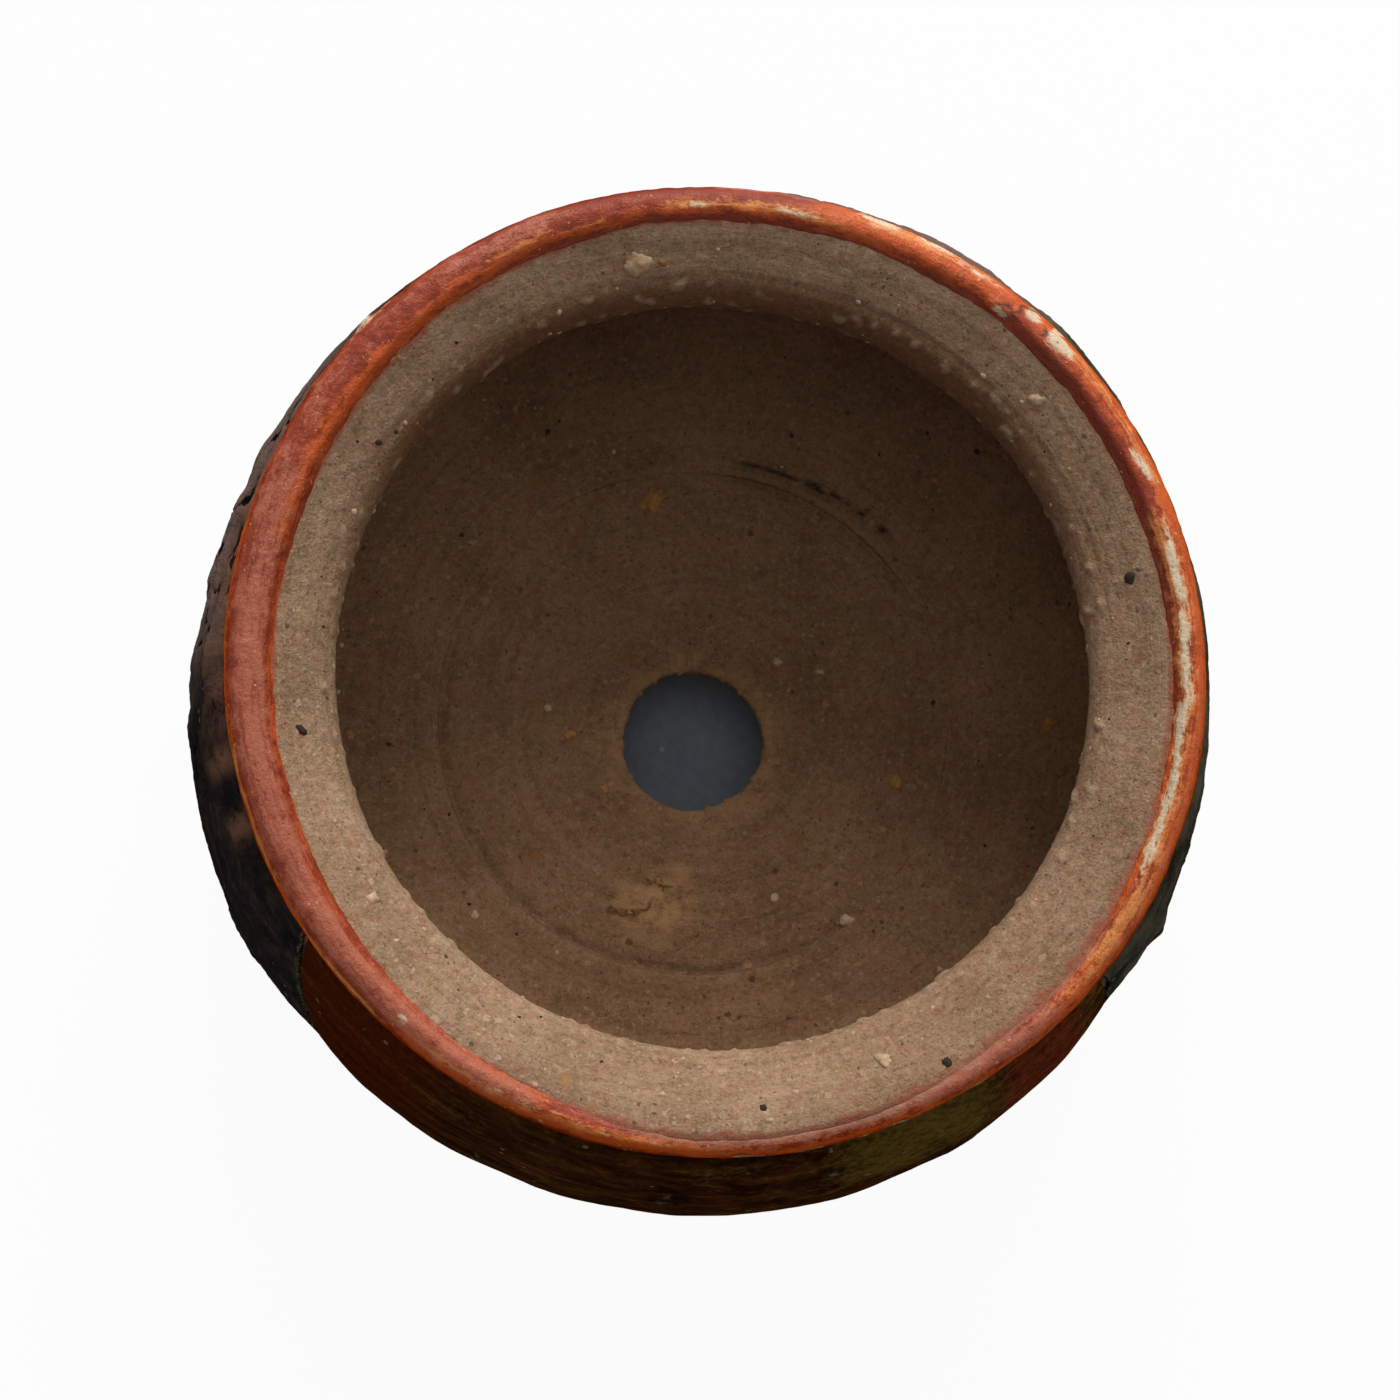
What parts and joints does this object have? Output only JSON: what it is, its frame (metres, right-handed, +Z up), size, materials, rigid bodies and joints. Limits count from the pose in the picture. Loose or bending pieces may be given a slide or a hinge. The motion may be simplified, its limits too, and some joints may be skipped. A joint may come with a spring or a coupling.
{
  "type": "planter pot",
  "caption": "Small round stoneware planter pot with an inturned glazed rim, torn bark skin on the wall, a drain hole and pressed feet.",
  "frame": {"origin": "on the ground under the centre of the pot, at the level of the feet's soles", "axes": "+Z up along the pot's axis, -Y towards the smooth glazed front, +X to the right seen from the front"},
  "size_m": [0.1291, 0.1295, 0.069],
  "materials": {
    "bare_clay": "matte coarse stoneware with grog, unglazed",
    "black_skin": "dry blue-black stained clay, torn and creased",
    "grey_skin": "dry grey-green stained clay, torn and creased",
    "iron_red_glaze": "satin iron-red glaze, breaking to orange and cream on edges",
    "olive_glaze": "glossy red-brown to olive glaze with pale drips"
  },
  "bodies": {
    "root": {"floor_slab": "bare_clay", "wall_ring": "bare_clay", "rim_ring": "bare_clay", "foot_1": "bare_clay", "foot_2": "bare_clay", "foot_3": "bare_clay", "bark_skin_left": "black_skin", "bark_skin_right": "grey_skin", "rim_glaze": "iron_red_glaze", "wall_glaze": "olive_glaze"}
  },
  "joints": []
}
